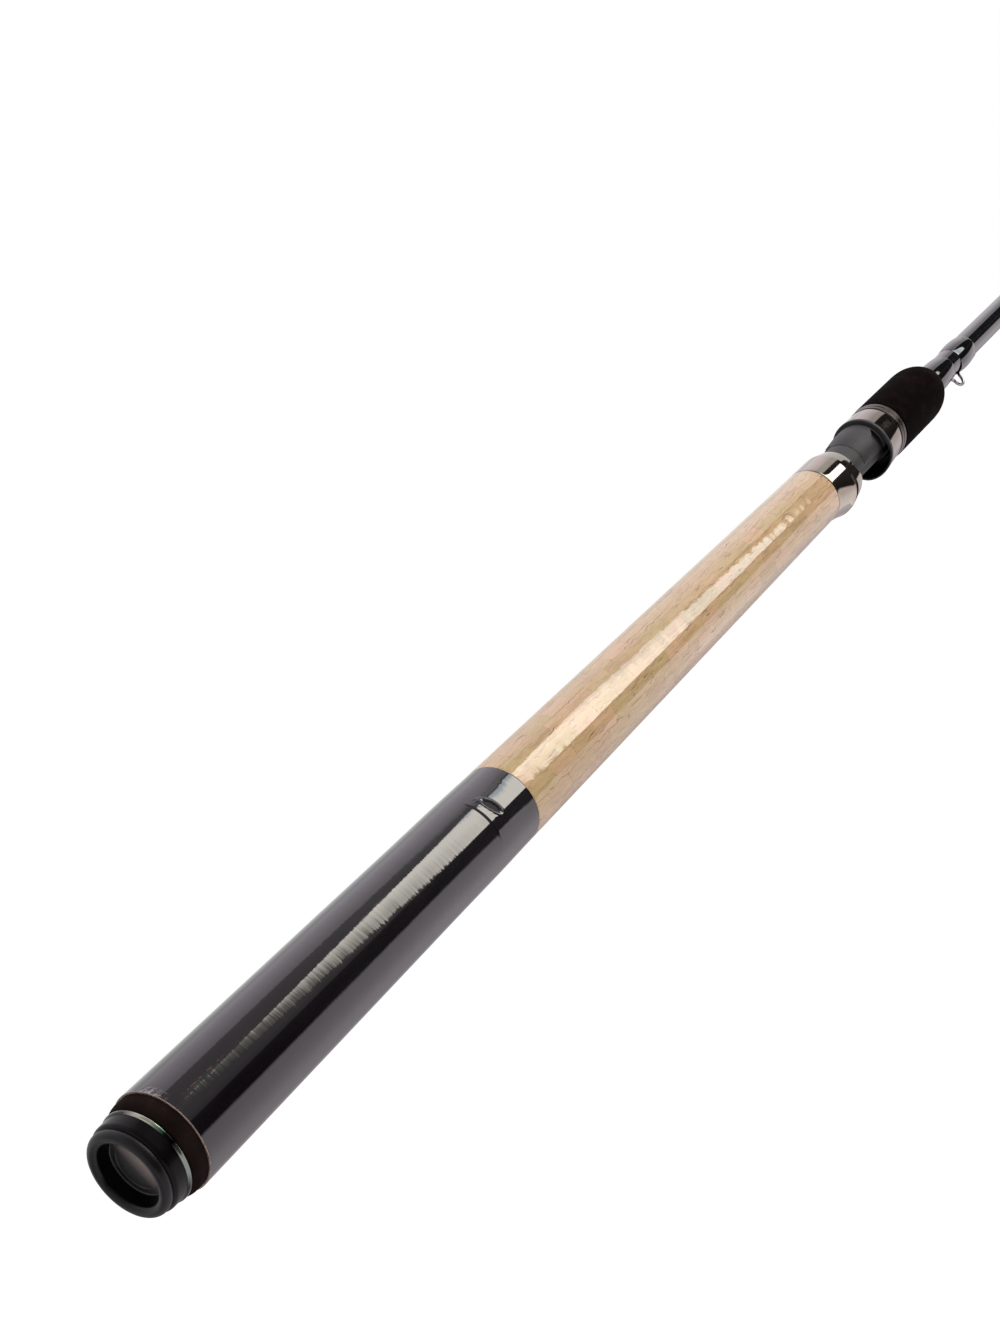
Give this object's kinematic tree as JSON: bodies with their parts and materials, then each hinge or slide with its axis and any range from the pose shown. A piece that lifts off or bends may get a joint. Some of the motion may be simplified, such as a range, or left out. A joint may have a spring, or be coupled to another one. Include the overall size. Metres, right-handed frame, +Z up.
{
  "type": "feeder rod",
  "caption": "Feeder rod with a cork and sleeve handle, a screw-down reel seat, a hook keeper, line guides and a push-in quiver tip.",
  "frame": {"origin": "on the rod's axis in the middle of the reel seat, where the hand holds it", "axes": "+X runs along the rod from butt to tip; the reel and the guides are on the -Z side; +Z is up with the rod held level"},
  "size_m": [2.7022, 0.028, 0.0536],
  "materials": {
    "cap_rubber": "semi-gloss moulded rubber",
    "eva_foam": "matte closed-cell foam",
    "core_foam": "matte foam core",
    "shrink_sleeve": "high-gloss shrink sleeve with a faint orange peel",
    "cork": "agglomerated cork with darker flecks",
    "clear_film": "clear gloss film",
    "carbon_blank": "gloss black lacquered carbon tube",
    "smoked_chrome": "smoked bright metal",
    "seat_plastic": "satin dark grey moulding",
    "arbor_foam": "rigid foam arbor",
    "steel_wire": "bright wire",
    "frame_metal": "dark plated wire",
    "ceramic": "polished dark ceramic",
    "whip_lacquer": "black thread under clear lacquer",
    "white_glass": "off-white glass-fibre tip"
  },
  "bodies": {
    "rod_body": {"butt_cap": "cap_rubber", "butt_collar": "eva_foam", "grip_core": "core_foam", "black_sleeve": "shrink_sleeve", "cork_grip": "cork", "clear_sleeve": "clear_film", "butt_blank": "carbon_blank", "fixed_hood": "smoked_chrome", "seat_body": "seat_plastic", "seat_arbor": "arbor_foam", "hook_keeper": "steel_wire", "keeper_whip_rear": "whip_lacquer", "keeper_whip_front": "whip_lacquer", "ferrule_whip": "whip_lacquer", "guide_1_frame": "frame_metal", "guide_1_ring": "ceramic", "guide_1_whip_rear": "whip_lacquer", "guide_1_whip_front": "whip_lacquer", "guide_2_frame": "frame_metal", "guide_2_ring": "ceramic", "guide_2_whip_rear": "whip_lacquer", "guide_2_whip_front": "whip_lacquer"},
    "hood": {"moving_hood": "smoked_chrome", "hood_slide": "seat_plastic"},
    "foregrip_nut": {"foregrip": "eva_foam", "foregrip_nut": "seat_plastic", "trim_ring": "smoked_chrome"},
    "tip_section": {"tip_blank": "carbon_blank", "socket_whip": "whip_lacquer", "tip_end_whip": "whip_lacquer", "guide_3_frame": "frame_metal", "guide_3_ring": "ceramic", "guide_3_whip_rear": "whip_lacquer", "guide_3_whip_front": "whip_lacquer", "guide_4_frame": "frame_metal", "guide_4_ring": "ceramic", "guide_4_whip_rear": "whip_lacquer", "guide_4_whip_front": "whip_lacquer", "guide_5_frame": "frame_metal", "guide_5_ring": "ceramic", "guide_5_whip_rear": "whip_lacquer", "guide_5_whip_front": "whip_lacquer"},
    "quiver_section": {"quiver_tip": "white_glass", "quiver_guide_1": "frame_metal", "quiver_guide_2": "frame_metal", "quiver_guide_3": "frame_metal", "quiver_guide_4": "frame_metal", "quiver_guide_5": "frame_metal", "quiver_whip_1": "whip_lacquer", "quiver_whip_2": "whip_lacquer", "quiver_whip_3": "whip_lacquer", "quiver_whip_4": "whip_lacquer", "quiver_whip_5": "whip_lacquer", "tip_top_tube": "frame_metal", "tip_top_ring": "ceramic"}
  },
  "joints": [
    {"name": "foregrip_turn", "type": "hinge", "parent": "hood", "child": "foregrip_nut", "pos_m": [0.06, 0, 0], "axis": [1, 0, 0], "range_deg": [-902.5, 2342.5]},
    {"name": "hood_travel", "type": "slide", "parent": "rod_body", "child": "hood", "axis": [1, 0, 0], "range_m": [-0.005, 0.013]},
    {"name": "tip_section_pull", "type": "slide", "parent": "rod_body", "child": "tip_section", "axis": [1, 0, 0], "range_m": [0, 0.07]},
    {"name": "quiver_tip_pull", "type": "slide", "parent": "tip_section", "child": "quiver_section", "axis": [1, 0, 0], "range_m": [0, 0.05]}
  ],
  "couplings": [
    {"joint": "foregrip_turn", "follows": "hood_travel", "rad_per_m": 3141.6}
  ]
}
